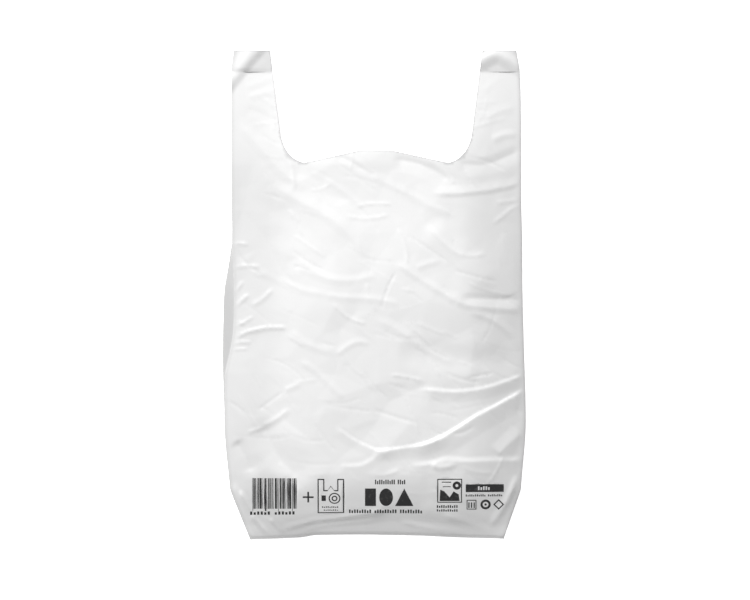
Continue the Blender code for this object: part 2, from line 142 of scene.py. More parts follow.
# Lights, floor and camera
SKY_STRENGTH = 0.27
KEY_POWER = 206.0
KEY_SIZE = 1.8
KEY_PLACE = (-1.5, 2.9, 2.8)
FLOOR_REACH = 4.0
FLOOR_WHITE = 0.98
FLOOR_GLOSS = 0.9
FLOOR_GLOW = 0.78
FLOOR_DROP = 0.0004
SENSOR_WIDTH = 36.0
CAMERA_HEIGHT = 4.0
VIEW_WIDTH = 0.7653
VIEW_CENTRE = -0.0051
VIEW_PLANE = 0.008

# A crease: its profile, how it fades towards its ends and beside the side folds, and how often and
# by what share its corners are cut
CREASE_POWER = 1.25
CREASE_TAPER = 6
CREASE_END = 1.1
FOLD_EASE = 0.01
CORNER_CUTS = 2
CORNER_SHARE = 0.25

# Creases of the front panel: rise, reach above, reach below, and (across, height) points, all in
# millimetres
RIDGES = (
    # Long creases of the lower half
    (0.8, 2.2, 9, ((-40, 117), (-32, 109), (-17, 100), (3, 91), (15, 92))),
    (1.2, 2.2, 12, ((-4, 92), (10, 92), (26, 94), (51, 98), (66, 104))),
    (2.1, 2.6, 18, ((34, 94), (51, 98), (68, 105), (87, 116), (105, 128), (120, 135), (149, 151))),
    (1.3, 3, 11, ((42, 151), (51, 154), (66, 152), (87, 151), (114, 155), (132, 161), (151, 168))),
    (1.3, 5, 14, ((30, 76), (57, 77), (68, 81), (76, 82), (93, 80), (116, 81), (149, 81))),
    (1, 5, 5, ((57, 77), (68, 74), (80, 77))),
    (0.8, 4, 9, ((-38, 76), (-17, 75), (-5, 80), (3, 88))),
    (0.7, 4, 6, ((-115, 116), (-101, 123), (-90, 132))),
    (0.6, 3, 5, ((-130, 110), (-115, 115))),
    (0.5, 4, 5, ((-92, 153), (-78, 159))),
    (-1.2, 12, 14, ((-115, 120), (-105, 96), (-93, 78), (-79, 66))),
    (-1.6, 10, 12, ((-142, 102), (-132, 86), (-126, 71))),
    (1.8, 12, 14, ((124, 86), (136, 98), (149, 109))),
    # Fans and folds of the middle
    (0.9, 10, 6, ((70, 250), (83, 243), (100, 238.5), (120, 236.5), (149, 234.5))),
    (-0.9, 6, 9, ((84, 246.5), (104, 246.5), (125, 246), (149, 245.5))),
    (0.8, 6.5, 5.2, ((95, 234), (118, 226), (137, 213), (147, 197))),
    (0.7, 6.5, 5.2, ((20, 284), (53, 261), (78, 247))),
    (0.5, 5.2, 5.2, ((41, 277), (51, 281), (63, 284))),
    (0.5, 4.6, 3.9, ((53, 321), (76, 296), (93, 289), (110, 291))),
    (0.5, 5.2, 4.6, ((-40, 188), (-30, 197), (-17, 203), (-9, 201))),
    (0.5, 5.2, 6.5, ((-55, 251), (-30, 247), (-5, 247), (20, 242))),
    (0.5, 6.5, 6.5, ((-80, 283), (-51, 266), (-23, 264), (-3, 269))),
    (0.5, 6.5, 6.5, ((-3, 227), (26, 214), (51, 194), (77, 182))),
    (0.5, 5.9, 5.9, ((-87, 214), (-70, 199), (-46, 192))),
    (0.5, 5.2, 5.2, ((-77, 184), (-58, 171), (-35, 148))),
    # Puckers at the pinched left edge
    (0.9, 3, 4, ((-150, 236), (-141, 240), (-131, 249))),
    (0.9, 3, 4, ((-144, 206), (-130, 213), (-111, 217), (-93, 217))),
    (0.6, 2, 3, ((-148, 200), (-139, 202), (-128, 202))),
    (0.5, 2, 2, ((-147, 193), (-139, 195), (-131, 195))),
    (0.8, 3, 3, ((-149, 247), (-143, 252), (-136, 262))),
    (0.7, 3, 3, ((-150, 228), (-142, 222), (-134, 221))),
    (0.6, 2, 3, ((-147, 216), (-138, 220), (-126, 227))),
    (0.6, 3, 3, ((-149, 276), (-135, 280), (-119, 279))),
    (0.6, 2, 3, ((-147, 302), (-140, 303), (-131, 302))),
    (0.6, 4, 4, ((-126, 239), (-115, 245), (-106, 254))),
    # Folds of the upper half
    (0.9, 8.5, 4.5, ((56, 354.5), (75, 352.5), (105, 355.5), (125, 358), (149, 364.5))),
    (-1.3, 6.5, 13, ((18, 389), (31, 387), (45, 384), (60, 378), (74, 368))),
    (-0.8, 4.6, 5.9, ((-40, 393), (-23, 385), (-3, 372))),
    (-1.2, 8, 12, ((83, 385), (101, 382), (118, 384), (133, 391), (147, 397))),
    (0.4, 3.9, 3.3, ((123, 344), (136, 345), (149, 348))),
    (0.5, 3.9, 3.3, ((120, 322), (131, 331), (139, 338), (149, 341))),
    (0.6, 9.1, 7.8, ((-140, 427), (-127, 412), (-113, 396), (-95, 375), (-77, 362))),
    (-0.5, 5.9, 7.8, ((-132, 441), (-119, 437), (-101, 427))),
    (0.6, 9.1, 7.8, ((-105, 363), (-76, 344), (-51, 333), (-30, 316), (-13, 296))),
    (0.5, 6.5, 6.5, ((-20, 380), (10, 365), (41, 349), (71, 333))),
    (0.4, 5.2, 5.2, ((-51, 369), (-31, 355), (-15, 341))),
    (0.4, 5.9, 5.9, ((-133, 278), (-107, 269), (-77, 255), (-54, 251))),
    # Folds of the handles
    (1, 6, 6, ((-132, 462), (-119, 467), (-106, 473))),
    (0.8, 6, 6, ((-131, 451), (-118, 456), (-103, 459))),
    (0.9, 6, 6, ((111, 457), (117, 465), (127, 472))),
    (0.8, 7, 7, ((113, 429), (124, 437), (139, 441))),
    (0.8, 6, 6, ((119, 408), (132, 414), (143, 414))),
    # Folds above the bottom weld
    (3.1, 6, 5, ((-104, 6), (-76, 15), (-43, 18), (-17, 23), (5, 27))),
    (2.2, 5, 4, ((-77, 4), (-58, 10), (-29, 13), (-3, 16))),
    (2.9, 6, 5, ((24, 15), (42, 11), (61, 7), (85, 4))),
    (2.3, 7, 8, ((69, 25), (85, 19), (104, 13), (118, 5))),
    (2.5, 6, 5, ((-148, 60), (-140, 43), (-131, 24), (-121, 6))),
    (2.2, 7, 6, ((-114, 44), (-106, 27), (-94, 11))),
    (2.2, 6, 6, ((116, 10), (127, 26), (137, 44), (145, 61))),
    # Sharp folds at the lower left corner
    (3, 3.5, 4.5, ((-139, 52), (-126, 28), (-114, 8))),
    (3, 3, 4, ((-127, 26), (-118, 15), (-108, 5))),
    (2.6, 3, 4, ((-108, 22), (-99, 12), (-90, 4))),
)

# Broad soft folds of the front panel: rise, reach and points, in millimetres
SOFT_FOLDS = (
    (1.2, 26, ((-107, 365), (-66, 342), (-40, 322))),
    (-1.8, 24, ((-109, 106), (-77, 71))),
    (1.6, 15, ((-107, 14), (-46, 24), (5, 30))),
    (1.6, 15, ((56, 28), (120, 16))),
    (-1.2, 20, ((40, 190), (128, 182))),
    (1.4, 20, ((66, 312), (88, 290), (108, 268))),
)

# Loose fine creases: how many, the lowest they lie, the middle and spread of their headings, their
# bend at each step, and the least and greatest of their length, slope and reach
LOOSE_CREASES = 210
LOOSE_FROM = BOTTOM_EASE / 4
LOOSE_HEADING = (-0.6, 0.45)
LOOSE_BEND = 0.3
LOOSE_STEPS = 3
LOOSE_LENGTH = (0.012, 0.055)
LOOSE_SLOPE = (0.05, 0.14)
LOOSE_REACH = (0.0014, 0.0036)
LOOSE_SEED = 11

# Flat facets between creases: the pitch of their corners, and how far those stand up or down
FACETS = ((0.034, 0.0009), (0.014, 0.00022))
FACET_JITTER = 0.42
FACET_SEED = 5

# Rows of net points along a ridge and along a loose crease, as shares of its reach above and
# below, their pitch, and the least distance between two such points
RIDGE_ROWS = (1.1, 0.8, 0.4, 0.08, -0.05, -0.35, -0.7, -1.0)
LOOSE_ROWS = (1.0, 0.0, -1.0)
RIDGE_STEP = 0.0025
RIDGE_GAP = 0.001

# Folds that all the layers take together: rise, reach above, reach below and points, in
# millimetres
LIFTS = (
    (1, 15, 2, ((-130, 2.5), (132, 2.5))),
    (1.8, 16, 8.5, ((-150, 463.5), (-133, 485.6), (-112, 509))),
    (2, 9, 11, ((108, 488), (118, 494), (126, 495.5), (136, 490), (152, 480))),
)

# Painted shade on the film, from 0 to 1: over a gusset, at a fold, in the gussets themselves, at a
# cut edge and at a weld, and how far the first two fade. The name is that of the mesh attribute
SHADE_ATTRIBUTE = "grey"
GUSSET_SHADE = 0.32
FOLD_SHADE = 0.35
STRIP_SHADE = 0.95
EDGE_SHADE = 1.0
WELD_SHADE = 0.25
GUSSET_FADE = 0.04
FOLD_FADE = 0.005
RIM_WIDTH = 0.0012

# Edges that turn by more than this are shaded as edges
SHARP_ANGLE = math.radians(60)

# Print above the bottom weld: left, right, low and high of its blocks, and the width of lines
STRIPES = (-0.1250, -0.0786, 0.0318, 0.0635)
ICON = (-0.0585, -0.0314, 0.0258, 0.0630)
ICON_LINE = 0.0012
ICON_SLAB = (-0.0545, -0.0500, 0.0400, 0.0460)
SQUARE = (0.0634, 0.0887, 0.0382, 0.0630)
SQUARE_LINE = 0.001
SQUARE_SLABS = ((0.0680, 0.0776, 0.0590, 0.0600), (0.0690, 0.0770, 0.0545, 0.0553))
BAR = (0.0924, 0.1314, 0.0492, 0.0571)
GRILLE = (0.0934, 0.1034, 0.0308, 0.0412)
GRILLE_LINE = 0.0009
GRILLE_SLAB = (0.0951, 0.0964, 0.0325, 0.0385)
GRILLE_SLABS = 3
GRILLE_PITCH = 0.0027

# Stripes: units in the width of their block and at its end, where none starts, their widths and
# gaps in units, and how far and how often one reaches down
STRIPE_UNITS = 95
STRIPE_SPARE = 3
STRIPE_WIDTHS = (1, 3, 2, 1, 2, 4, 1, 1, 3)
STRIPE_GAPS = (1, 1, 2, 1, 1, 1, 3)
STRIPE_FOOT = 0.0025
STRIPE_FOOT_EVERY = 8

# Small bag of the print: its strap, its mouth, and the flat and the rise of its tab
ICON_STRAP = 0.007
ICON_MOUTH = 0.0515
ICON_FLAT = 0.0035
ICON_TAB = 0.0045

# Plain shapes of the print: centres and sizes
PLUS = (-0.0680, 0.0441)
PLUS_ARM = 0.0056
PLUS_HALF = 0.0009
BOLD_HEIGHTS = (0.0344, 0.0532)
BOLD_SLAB = (-0.0102, 0.0010)
BOLD_ELLIPSE = (0.0113, 0.0140)
BOLD_TRIANGLE = (0.0204, 0.0298, 0.0392)
DIAMOND = (0.1262, 0.0362)
DIAMOND_SIZES = (0.0056, 0.0038)
HILLS = ((0.0658, 0.0400), (0.0862, 0.0400), (0.0852, 0.0470), (0.0800, 0.0500), (0.0760, 0.0440),
         (0.0706, 0.0500), (0.0664, 0.0520))

# Rings of the print: the centre, then width and height of each ellipse from the outermost in
ICON_RINGS = ((-0.0412, 0.0428), (0.0120, 0.0118), (0.0096, 0.0094), (0.0060, 0.0060),
              (0.0034, 0.0034))
SQUARE_RINGS = ((0.0833, 0.0560), (0.0086, 0.0086), (0.0030, 0.0030))
LOWER_RINGS = ((0.1128, 0.0362), (0.0106, 0.0104), (0.0060, 0.0058), (0.0024, 0.0024))
RING_STEPS = 32

# Rows of small marks: left, right, low, high, pitch, and pitches to a group with its gap. Then the
# share of its pitch that a mark fills, the height of the short ones, and how often they come
STRIPE_MARKS = (-0.1275, -0.0790, 0.0255, 0.0290, 0.0036, 7)
TITLE_MARKS = (0.0, 0.0330, 0.0575, 0.0622, 0.0021, 11)
FOOT_MARKS = (-0.0265, 0.0500, 0.0258, 0.0302, 0.0026, 10)
ICON_MARKS = ((-0.0540, -0.0352, 0.0322, 0.0340, 0.0019, 20),
              (-0.0522, -0.0368, 0.0288, 0.0302, 0.0019, 20))
SQUARE_MARKS = ((0.0630, 0.0872, 0.0325, 0.0356, 0.0022, 12),
                (0.0630, 0.0872, 0.0284, 0.0310, 0.0022, 12))
BAR_MARKS = ((0.10488, 0.1190, 0.0512, 0.0551, 0.0026, 20),
             (0.0924, 0.1314, 0.0447, 0.0468, 0.0019, 12))
MARK_SHARE = 0.62
SHORT_MARK = 0.75
SHORT_EVERY = 3

# Lines where one side of the film turns, from the front panel round its gusset to the back,
# and which way the outer face looks between each two
LINES = ("front_top", "front_tip", "front_foot", "crease_top", "crease_tip", "crease_foot",
         "back_top", "back_tip", "back_foot")
LINE_FACING = (1, -1, -1, -1, 1, 1, 1, -1)

# The two lines that each panel lies between
FRONT = (("left", "front_top"), ("right", "front_top"))
BACK = (("left", "back_foot"), ("right", "back_foot"))

# Sizes that follow from those above
STACK = 4 * FILM + 3 * LAYER_GAP
HANDLE_WELD_TOP = BAG_LENGTH - HANDLE_WELD_DROP + WELD_WIDTH / 2
HANDLE_WELD_LOW = HANDLE_WELD_TOP - WELD_WIDTH
MOUTH_HEIGHT = BAG_LENGTH - NOTCH_DEPTH


def metres(millimetres):
    """A size, or a table of sizes, in metres."""
    if isinstance(millimetres, tuple):
        return tuple(metres(size) for size in millimetres)
    return millimetres / 1000


def mix(first, last, share):
    return first + (last - first) * share


def ease_out(share):
    """0 to 1, steep at 0 and level at 1, as film opens from a weld."""
    share = min(max(share, 0.0), 1.0)
    return 1 - (1 - share) ** OPENING_CURVE


def smooth(share):
    share = min(max(share, 0.0), 1.0)
    return share * share * (3 - 2 * share)


def through(points, at):
    """Value at one height of the smooth curve through (height, value) points."""
    if at <= points[0][0]:
        return points[0][1]
    if at >= points[-1][0]:
        return points[-1][1]
    last = next(i for i, point in enumerate(points) if point[0] > at)
    (start, low), (end, high) = points[last - 1], points[last]
    before = points[max(last - 2, 0)]
    after = points[min(last + 1, len(points) - 1)]
    span = end - start
    leave = span * (high - before[1]) / (end - before[0])
    arrive = span * (after[1] - low) / (after[0] - start)
    t = (at - start) / span
    return ((2 * t**3 - 3 * t**2 + 1) * low + (t**3 - 2 * t**2 + t) * leave
            + (3 * t**2 - 2 * t**3) * high + (t**3 - t**2) * arrive)


def half_width(height):
    """Half the width of the folded bag, before its drift."""
    corner = BODY_WIDTH / 2 - CORNER_EASE
    if height < CORNER_HEIGHT:
        return mix(BOTTOM_WIDTH / 2, corner, height / CORNER_HEIGHT)
    widths = ((CORNER_HEIGHT, corner), (BELLY_HEIGHT, BODY_WIDTH / 2),
              (WAIST_HEIGHT, HANDLE_SPAN / 2 + TOP_EASE / 4),
              (HANDLE_WELD_LOW, HANDLE_SPAN / 2), (BAG_LENGTH, HANDLE_SPAN / 2 - TOP_EASE))
    return through(widths, height)


def opening(height):
    """How far the layers have opened: 0 where a weld fuses them, 1 well away from it."""
    if height >= HANDLE_WELD_TOP:
        return SKIRT_OPENING * ease_out((height - HANDLE_WELD_TOP) / (BAG_LENGTH - HANDLE_WELD_TOP))
    from_bottom = ease_out((height - WELD_WIDTH) / BOTTOM_EASE)
    from_handle = ease_out((HANDLE_WELD_LOW - height) / HANDLE_EASE)
    return min(from_bottom, from_handle)


def section(height):
    """The places of the folds and layers in the cross-section at one height."""
    opened = opening(height)
    upper = smooth((height - POCKET_OPENS_AT) / (MOUTH_HEIGHT - POCKET_OPENS_AT))
    mouthward = smooth((height - CROWN_FALLS_AT) / (MOUTH_HEIGHT - CROWN_FALLS_AT))
    edge = mix(EDGE_BODY, EDGE_HANDLE, upper)
    pocket = mix(POCKET_BODY, POCKET_HANDLE, upper)
    fold = mix(FILM + LAYER_GAP / 2, FILM + FOLD_RADIUS, opened)
    drift = through(DRIFT, height)
    half = half_width(height)
    depth = OPEN_WIDTH / 2 - half
    return {
        "fold": fold,
        "front_left": drift - half + through(FRONT_PINCH, height),
        "back_left": drift - half + through(BACK_BULGE, height),
        "right": drift + half,
        "crease_left": drift - half + depth,
        "crease_right": drift + half - depth,
        "front_fold": mix(STACK - FILM - LAYER_GAP / 2, edge, opened),
        "crease": mix(STACK / 2, edge / 2 + FOLD_RADIUS / 2, opened),
        "pocket": mix(LAYER_GAP / 2, pocket / 2, opened),
        "crown": mix(STACK, mix(PUFF_BODY, PUFF_MOUTH, mouthward), opened),
    }


def side_lines(row, side):
    """Where the lines of one side cross a section: (across, up) for each line, by name."""
    inward = 1 if side == "left" else -1
    front = row["front_left"] if side == "left" else row["right"]
    back = row["back_left"] if side == "left" else row["right"]
    crease = row["crease_left"] if side == "left" else row["crease_right"]
    fold, pocket = row["fold"], row["pocket"]
    bend = crease - inward * pocket
    return {
        "front_top": (front + inward * fold, row["front_fold"] + fold),
        "front_tip": (front, row["front_fold"]),
        "front_foot": (front + inward * fold, row["front_fold"] - fold),
        "crease_top": (bend, row["crease"] + pocket),
        "crease_tip": (crease, row["crease"]),
        "crease_foot": (bend, row["crease"] - pocket),
        "back_top": (back + inward * fold, 2 * fold),
        "back_tip": (back, fold),
        "back_foot": (back + inward * fold, 0.0),
    }


def lines_at(height):
    """Every line of the film at one height, by side and name."""
    row = section(height)
    return {
        (side, name): place
        for side in ("left", "right")
        for name, place in side_lines(row, side).items()
    }


def layers():
    """Each layer's two lines, and 1 where its outer face looks up, or -1."""
    found = [(*FRONT, 1)]
    for side in ("left", "right"):
        for first, second, up in zip(LINES, LINES[1:], LINE_FACING):
            found.append(((side, first), (side, second), up))
    return found + [(*BACK, -1)]


def notch_half_width(height):
    """Half the width of the notch along its two straight sides."""
    slope = (NOTCH_TOP_WIDTH - NOTCH_SIDE_WIDTH) / NOTCH_SIDE_DEPTH / 2
    return NOTCH_SIDE_WIDTH / 2 + slope * (height - BAG_LENGTH + NOTCH_SIDE_DEPTH)


def row_heights(low, high, pitch):
    count = max(1, round((high - low) / pitch))
    return [mix(low, high, i / count) for i in range(count + 1)]


def notch_outline():
    """The die that cuts the mouth and the handles out of all four layers, anticlockwise."""
    low = BAG_LENGTH - NOTCH_SIDE_DEPTH
    sides = row_heights(low, BAG_LENGTH + NOTCH_MARGIN, CUT_STEP)
    half = [Vector((notch_half_width(height), height)) for height in sides[:0:-1]]
    start = Vector((notch_half_width(low), low))
    pull = Vector((NOTCH_CORNER_PULL / 2, MOUTH_HEIGHT + NOTCH_CORNER_LIFT))
    corner = Vector((NOTCH_CORNER_SPREAD / 2, MOUTH_HEIGHT))
    tab = Vector((TAB_WIDTH / 2, MOUTH_HEIGHT + TAB_RISE))
    for i in range(NOTCH_CURVE_STEPS):
        t = i / NOTCH_CURVE_STEPS
        half.append(start * (1 - t) ** 2 + pull * 2 * t * (1 - t) + corner * t**2)
    steps = round((corner - tab).length / CUT_STEP)
    half += [corner.lerp(tab, i / steps) for i in range(steps + 1)]
    mirrored = [Vector((-point.x, point.y)) for point in half]
    drift = Vector((through(DRIFT, MOUTH_HEIGHT), 0.0))
    return [point + drift for point in mirrored + [Vector((0.0, tab.y))] + half[::-1]]


def inside(outline, point):
    """Whether a point lies inside an outline, by counting the edges to its right."""
    crossings = 0
    for a, b in zip(outline, outline[1:] + outline[:1]):
        if (a.y > point.y) != (b.y > point.y):
            crossings += point.x < a.x + (b.x - a.x) * (point.y - a.y) / (b.y - a.y)
    return crossings % 2 == 1


def front_height(across, height):
    """Height of the front panel's outer face above the floor, before its creases."""
    row = section(height)
    left = row["front_left"] + row["fold"]
    right = row["right"] - row["fold"]
    side = min(abs(2 * (across - left) / (right - left) - 1), 1.0)
    edge = row["front_fold"] + row["fold"]
    return mix(edge, row["crown"], 1 - side**CROWN_POWER)


def rounded(points):
    """A line of points with its corners cut."""
    for _ in range(CORNER_CUTS):
        cut = [points[0]]
        for a, b in pairwise(points):
            for share in (CORNER_SHARE, 1 - CORNER_SHARE):
                cut.append((mix(a[0], b[0], share), mix(a[1], b[1], share)))
        points = cut + [points[-1]]
    return points


def ridge_points():
    """Points of the net along every ridge and fine crease of the front panel."""
    found = []
    lines = [(RIDGE_ROWS, *ridge) for ridge in metres(RIDGES)]
    lines += [(LOOSE_ROWS, *crease) for crease in loose_creases()]
    for rows, _, above, below, points in lines:
        for row in rows:
            aside = row * (above if row > 0 else below)
            for a, b in pairwise(points):
                start, run = Vector(a), Vector(b) - Vector(a)
                out = Vector((-run.y, run.x)).normalized() * aside
                steps = max(1, round(run.length / RIDGE_STEP))
                found += [start + run * (i / steps) + out for i in range(steps)]
    return found


def panel_points(rows, notch, is_front):
    """Inner points of a panel's net: a triangular grid, and on the front its rim and creases."""
    rim = list(pairwise(notch))
    placed = []

    def is_clear(point):
        if not rows[0] + EDGE_CLEARANCE < point.y < rows[-1] - EDGE_CLEARANCE:
            return False
        row = section(point.y)
        low, high = row["front_left"] + EDGE_CLEARANCE, row["right"] - EDGE_CLEARANCE
        if not low < point.x < high:
            return False
        near_rim = point.y > MOUTH_HEIGHT - NET_PITCH
        return not (near_rim and (inside(notch, point) or is_near(rim, point)))

    taken = set()
    for point in rim_points(notch) + ridge_points() if is_front else []:
        cell = (round(point.x / RIDGE_GAP), round(point.y / RIDGE_GAP))
        if cell in taken or not is_clear(point):
            continue
        taken.update((cell[0] + i, cell[1] + j) for i in (-1, 0, 1) for j in (-1, 0, 1))
        placed.append(point)
    tree = kdtree.KDTree(max(1, len(placed)))
    for i, point in enumerate(placed):
        tree.insert((point.x, point.y, 0.0), i)
    tree.balance()
    ridges = len(placed)
    pitch = NET_PITCH if is_front else BACK_PITCH
    step_up = pitch * math.sqrt(3) / 2
    count = math.ceil(BODY_WIDTH / pitch)
    for line, height in enumerate(row_heights(rows[0], rows[-1], step_up)[1:-1]):
        for column in range(-count, count + 1):
            point = Vector(((column + (line % 2) / 2) * pitch, height))
            if not is_clear(point):
                continue
            if ridges and tree.find((point.x, point.y, 0.0))[2] < RIDGE_GAP:
                continue
            placed.append(point)
    return placed


def rim_points(notch):
    """A ring of points around the notch, as far from it as the painted shade of a cut edge reaches.
    """
    found = []
    for a, b in pairwise(notch):
        out = Vector((b.y - a.y, a.x - b.x)).normalized() * RIM_WIDTH
        found += [a + out, a.lerp(b, 0.5) + out]
    return found


def is_near(rim, point):
    """Whether a point is too near one of a rim's edges, of which the tab's are the longest."""
    return any(
        abs(a.y - point.y) < CUT_STEP * 2
        and abs(a.x - point.x) < TAB_WIDTH
        and (intersect_point_line(point, a, b)[0] - point).length < EDGE_CLEARANCE
        for a, b in rim
    )


def nearest_on(points, across, height):
    """Signed distance of many places to one crease, positive above it, and how far along."""
    best = np.full(across.shape, np.inf)
    along = np.zeros(across.shape)
    spans = [(Vector(b) - Vector(a)).length for a, b in pairwise(points)]
    done = 0.0
    for (a, b), span in zip(pairwise(points), spans):
        run_x, run_y = b[0] - a[0], b[1] - a[1]
        away_x, away_y = across - a[0], height - a[1]
        share = np.clip((away_x * run_x + away_y * run_y) / span**2, 0.0, 1.0)
        distance = np.hypot(away_x - run_x * share, away_y - run_y * share)
        sign = np.where(run_x * away_y - run_y * away_x >= 0, 1.0, -1.0)
        nearer = distance < np.abs(best)
        best = np.where(nearer, distance * sign, best)
        along = np.where(nearer, (done + share * span) / sum(spans), along)
        done += span
    return best, along


def smooth_many(share):
    share = np.clip(share, 0.0, 1.0)
    return share * share * (3 - 2 * share)


def loose_creases():
    """Fine creases scattered over the panel, most of them running down to the right."""
    draw = random.Random(LOOSE_SEED)
    found = []
    for _ in range(LOOSE_CREASES):
        x = draw.uniform(-BODY_WIDTH / 2, BODY_WIDTH / 2)
        y = draw.uniform(LOOSE_FROM, BAG_LENGTH)
        heading = draw.gauss(*LOOSE_HEADING)
        step = draw.uniform(*LOOSE_LENGTH) / LOOSE_STEPS
        bend = draw.uniform(-LOOSE_BEND, LOOSE_BEND)
        points = [(x, y)]
        for i in range(LOOSE_STEPS):
            x += step * math.cos(heading + bend * i)
            y += step * math.sin(heading + bend * i)
            points.append((x, y))
        reach = draw.uniform(*LOOSE_REACH)
        rise = draw.uniform(*LOOSE_SLOPE) * reach * draw.choice((-1, 1))
        found.append((rise, reach, draw.uniform(*LOOSE_REACH), points))
    return found


def facet_height(across, height):
    """Height of the flat facets between creases at many places."""
    total = np.zeros(across.shape)
    draw = random.Random(FACET_SEED)
    for pitch, swing in FACETS:
        corners, tops = [], []
        reach = math.ceil(BODY_WIDTH / pitch)
        for i in range(-1, math.ceil(BAG_LENGTH / pitch) + 2):
            for j in range(-reach, reach + 1):
                x = (j + (i % 2) / 2 + draw.uniform(-FACET_JITTER, FACET_JITTER)) * pitch
                y = (i + draw.uniform(-FACET_JITTER, FACET_JITTER)) * pitch
                corners.append(Vector((x, y)))
                tops.append(draw.uniform(-swing, swing))
        found, _, triangles, sources, _, _ = delaunay_2d_cdt(corners, [], [], 0, CDT_NEAR, True)
        solid = [(p.x, p.y, tops[source[0]]) for p, source in zip(found, sources)]
        tree = BVHTree.FromPolygons(solid, triangles)
        for k, (x, y) in enumerate(zip(across, height)):
            hit = tree.ray_cast((x, y, 1.0), (0.0, 0.0, -1.0))[0]
            total[k] += hit.z if hit else 0.0
    return total


def crease_field(across, height):
    """What all the creases add to the front panel's height at many places."""
    total = facet_height(across, height)
    for rise, above, below, points in (*metres(RIDGES), *loose_creases()):
        away, along = nearest_on(rounded(points), across, height)
        reach = np.where(away >= 0, above, below)
        share = np.clip(1 - np.abs(away) / reach, 0.0, 1.0)
        ends = smooth_many(CREASE_TAPER * along) * smooth_many(CREASE_TAPER * (CREASE_END - along))
        total += rise * share ** CREASE_POWER * ends
    for rise, reach, points in metres(SOFT_FOLDS):
        away, _ = nearest_on(points, across, height)
        total += rise * smooth_many(1 - np.abs(away) / reach)
    return total


def crumple(front):
    """Raises the front panel's vertices by its creases, less and less towards welds and folds.

    Above the handle welds a crease only rises, because the layers lie on each other there.
    """
    across = np.array([v.co.x for v in front])
    height = np.array([v.co.y for v in front])
    rise = crease_field(across, height)
    for vert, lift in zip(front, rise):
        row = section(vert.co.y)
        to_fold = min(vert.co.x - row["front_left"], row["right"] - vert.co.x)
        if vert.co.y > HANDLE_WELD_TOP:
            hold = smooth((vert.co.y - HANDLE_WELD_TOP) / SKIRT_EASE)
            lift = (lift + math.hypot(lift, SKIRT_LIFT)) / 2
        else:
            hold = opening(vert.co.y)
        vert.co.z += lift * smooth(to_fold / FOLD_EASE) * hold


def polygon(points):
    return [Vector(point) for point in points]


def slab(x0, x1, low, high):
    return polygon(((x0, low), (x1, low), (x1, high), (x0, high)))


def disc(x, y, wide, high):
    turns = [2 * math.pi * i / RING_STEPS for i in range(RING_STEPS)]
    return polygon((x + wide / 2 * math.cos(t), y + high / 2 * math.sin(t)) for t in turns)


def rings(centre, *sizes):
    return [disc(*centre, *size) for size in sizes]


def outline_box(x0, x1, low, high, line):
    return [slab(x0, x1, low, high), slab(x0 + line, x1 - line, low + line, high - line)]


def marks(*rows):
    """Rows of small upright marks in groups, some of them shorter."""
    shapes = []
    for x0, x1, low, high, pitch, group in rows:
        for i in range(int((x1 - x0) / pitch)):
            if i % group < group - 1:
                left = x0 + i * pitch
                top = mix(low, high, SHORT_MARK) if i % SHORT_EVERY == 1 else high
                shapes.append(slab(left, left + pitch * MARK_SHARE, low, top))
    return shapes


def stripe_block():
    """A block of upright stripes of uneven widths."""
    shapes = []
    x0, x1, low, high = STRIPES
    unit = (x1 - x0) / STRIPE_UNITS
    place, i = 0, 0
    while place < STRIPE_UNITS - STRIPE_SPARE:
        wide = STRIPE_WIDTHS[i % len(STRIPE_WIDTHS)]
        foot = low if i % STRIPE_FOOT_EVERY else low - STRIPE_FOOT
        shapes.append(slab(x0 + place * unit, x0 + (place + wide) * unit, foot, high))
        place += wide + STRIPE_GAPS[i % len(STRIPE_GAPS)]
        i += 1
    return shapes


def plus_sign():
    x, y = PLUS
    arm, half = PLUS_ARM, PLUS_HALF
    return polygon((
        (x - arm, y - half), (x - half, y - half), (x - half, y - arm), (x + half, y - arm),
        (x + half, y - half), (x + arm, y - half), (x + arm, y + half), (x + half, y + half),
        (x + half, y + arm), (x - half, y + arm), (x - half, y + half), (x - arm, y + half)))


def bag_icon():
    """The outline of a small vest bag, with plain shapes on it."""
    x0, x1, low, high = ICON
    left, right = x0 + ICON_STRAP, x1 - ICON_STRAP

    def cut(edge):
        return polygon((
            (x0 + edge, low + edge), (x1 - edge, low + edge), (x1 - edge, high - edge),
            (right + edge, high - edge), (right + edge, ICON_MOUTH - edge),
            (right - ICON_FLAT + edge / 2, ICON_MOUTH - edge),
            ((x0 + x1) / 2, ICON_MOUTH + ICON_TAB - edge),
            (left + ICON_FLAT - edge / 2, ICON_MOUTH - edge),
            (left - edge, ICON_MOUTH - edge), (left - edge, high - edge),
            (x0 + edge, high - edge)))

    shapes = [cut(0.0), cut(ICON_LINE)] + rings(*ICON_RINGS) + [slab(*ICON_SLAB)]
    return shapes + marks(*ICON_MARKS)


def bold_group():
    """Bold plain shapes in the middle of the print: a rectangle, an ellipse and a triangle."""
    low, high = BOLD_HEIGHTS
    middle, wide = BOLD_ELLIPSE
    left, peak, right = BOLD_TRIANGLE
    ellipse = disc(middle, (low + high) / 2, wide, high - low)
    triangle = polygon(((left, low), (right, low), (peak, high)))
    return [slab(*BOLD_SLAB, low, high), ellipse, triangle]


def square_icon():
    """An outlined square with plain shapes in it and two rows of marks below."""
    shapes = outline_box(*SQUARE, SQUARE_LINE) + [polygon(HILLS)] + rings(*SQUARE_RINGS)
    return shapes + [slab(*box) for box in SQUARE_SLABS] + marks(*SQUARE_MARKS)


